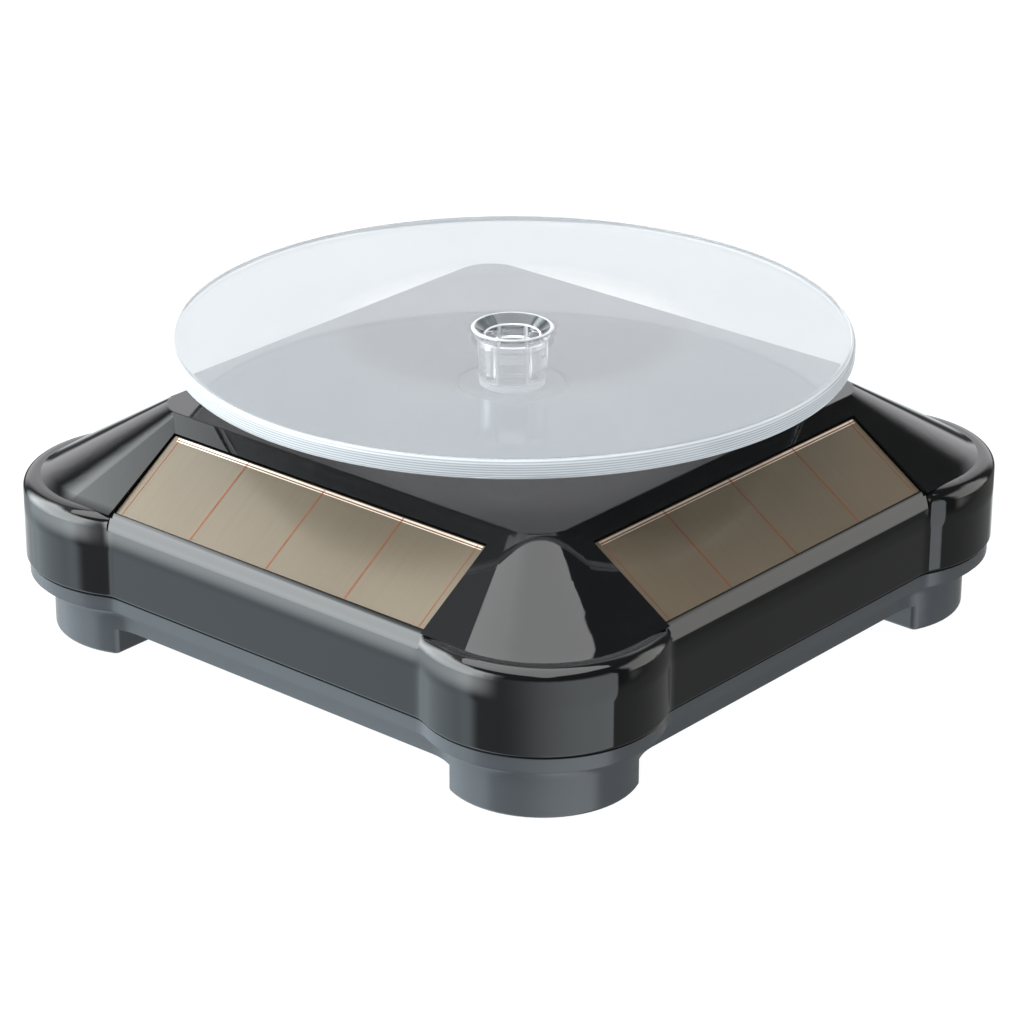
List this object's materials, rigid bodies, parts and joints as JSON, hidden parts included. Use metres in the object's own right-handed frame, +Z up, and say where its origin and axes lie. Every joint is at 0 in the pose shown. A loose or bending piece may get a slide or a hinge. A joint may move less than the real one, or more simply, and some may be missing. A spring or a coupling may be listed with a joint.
{
  "type": "turntable display stand",
  "caption": "Small solar and battery powered turntable: a clear disc turns slowly on a hexagonal spindle above a square gloss case with sloping solar panels.",
  "frame": {"origin": "on the ground, under the middle of the disc and of the case", "axes": "+Z up along the spindle, -Y is the front panel, +X the right-hand panel"},
  "size_m": [0.102, 0.102, 0.0409],
  "materials": {
    "board": "solder mask",
    "brass": "bright",
    "bush_black": "satin",
    "capacitor_sleeve": "sleeved can",
    "cell_jacket": "printed jacket",
    "clear": "clear, polished",
    "diode_black": "moulded",
    "end_cap": "moulded",
    "gear_white": "satin",
    "gloss_black": "gloss",
    "lead_sleeve": "vinyl sleeve",
    "magnet": "sintered",
    "nickel": "nickel plated",
    "plate_white": "satin",
    "rotor_steel": "laminated",
    "satin_black": "satin",
    "screw_steel": "zinc plated",
    "solar": "thin-film cells behind polished glass",
    "steel": "bright",
    "switch_black": "satin"
  },
  "bodies": {
    "case": {"aa_cell": "cell_jacket", "base_cover": "satin_black", "battery_leads": "lead_sleeve", "board_screws": "screw_steel", "capacitor": "capacitor_sleeve", "case_screws": "screw_steel", "circuit_board": "board", "contact_negative": "nickel", "contact_positive": "nickel", "diodes": "diode_black", "gear_axles": "steel", "gearbox_lower_plate": "plate_white", "gearbox_screws": "screw_steel", "gearbox_upper_plate": "plate_white", "motor_can": "steel", "motor_end_cap": "end_cap", "motor_magnets": "magnet", "motor_terminals": "brass", "solar_panel_back": "solar", "solar_panel_front": "solar", "solar_panel_left": "solar", "solar_panel_right": "solar", "spindle_bush": "bush_black", "switch_body": "switch_black", "top_cover": "gloss_black"},
    "spindle": {"drive_spindle": "clear", "output_gear": "gear_white"},
    "disc": {"display_disc": "clear"},
    "second_gear": {"second_gear": "gear_white"},
    "first_gear": {"first_gear": "gear_white"},
    "rotor": {"motor_rotor": "rotor_steel", "motor_pinion": "brass"},
    "battery_door": {"battery_door": "satin_black"},
    "switch_slider": {"switch_slider": "switch_black"}
  },
  "joints": [
    {"name": "spindle_spin", "type": "hinge", "parent": "case", "child": "spindle", "pos_m": [0, 0, 0.03], "axis": [0, 0, 1], "continuous": true},
    {"name": "disc_lift", "type": "slide", "parent": "spindle", "child": "disc", "axis": [0, 0, 1], "range_m": [0, 0.03]},
    {"name": "second_gear_spin", "type": "hinge", "parent": "case", "child": "second_gear", "pos_m": [0.01061, -0.01061, 0.015], "axis": [0, 0, 1], "continuous": true},
    {"name": "first_gear_spin", "type": "hinge", "parent": "case", "child": "first_gear", "pos_m": [0, -0.02121, 0.018], "axis": [0, 0, 1], "continuous": true},
    {"name": "rotor_spin", "type": "hinge", "parent": "case", "child": "rotor", "pos_m": [-0.015, -0.02121, 0.015], "axis": [0, 0, 1], "continuous": true},
    {"name": "battery_door_hinge", "type": "hinge", "parent": "case", "child": "battery_door", "pos_m": [0, 0.0385, 0.00572], "axis": [1, 0, 0], "range_deg": [0, 45]},
    {"name": "switch_slide", "type": "slide", "parent": "case", "child": "switch_slider", "axis": [0, 1, 0], "range_m": [0, 0.0025]}
  ],
  "couplings": [
    {"joint": "second_gear_spin", "follows": "spindle_spin", "ratio": -4},
    {"joint": "first_gear_spin", "follows": "spindle_spin", "ratio": 16},
    {"joint": "rotor_spin", "follows": "spindle_spin", "ratio": -80}
  ]
}
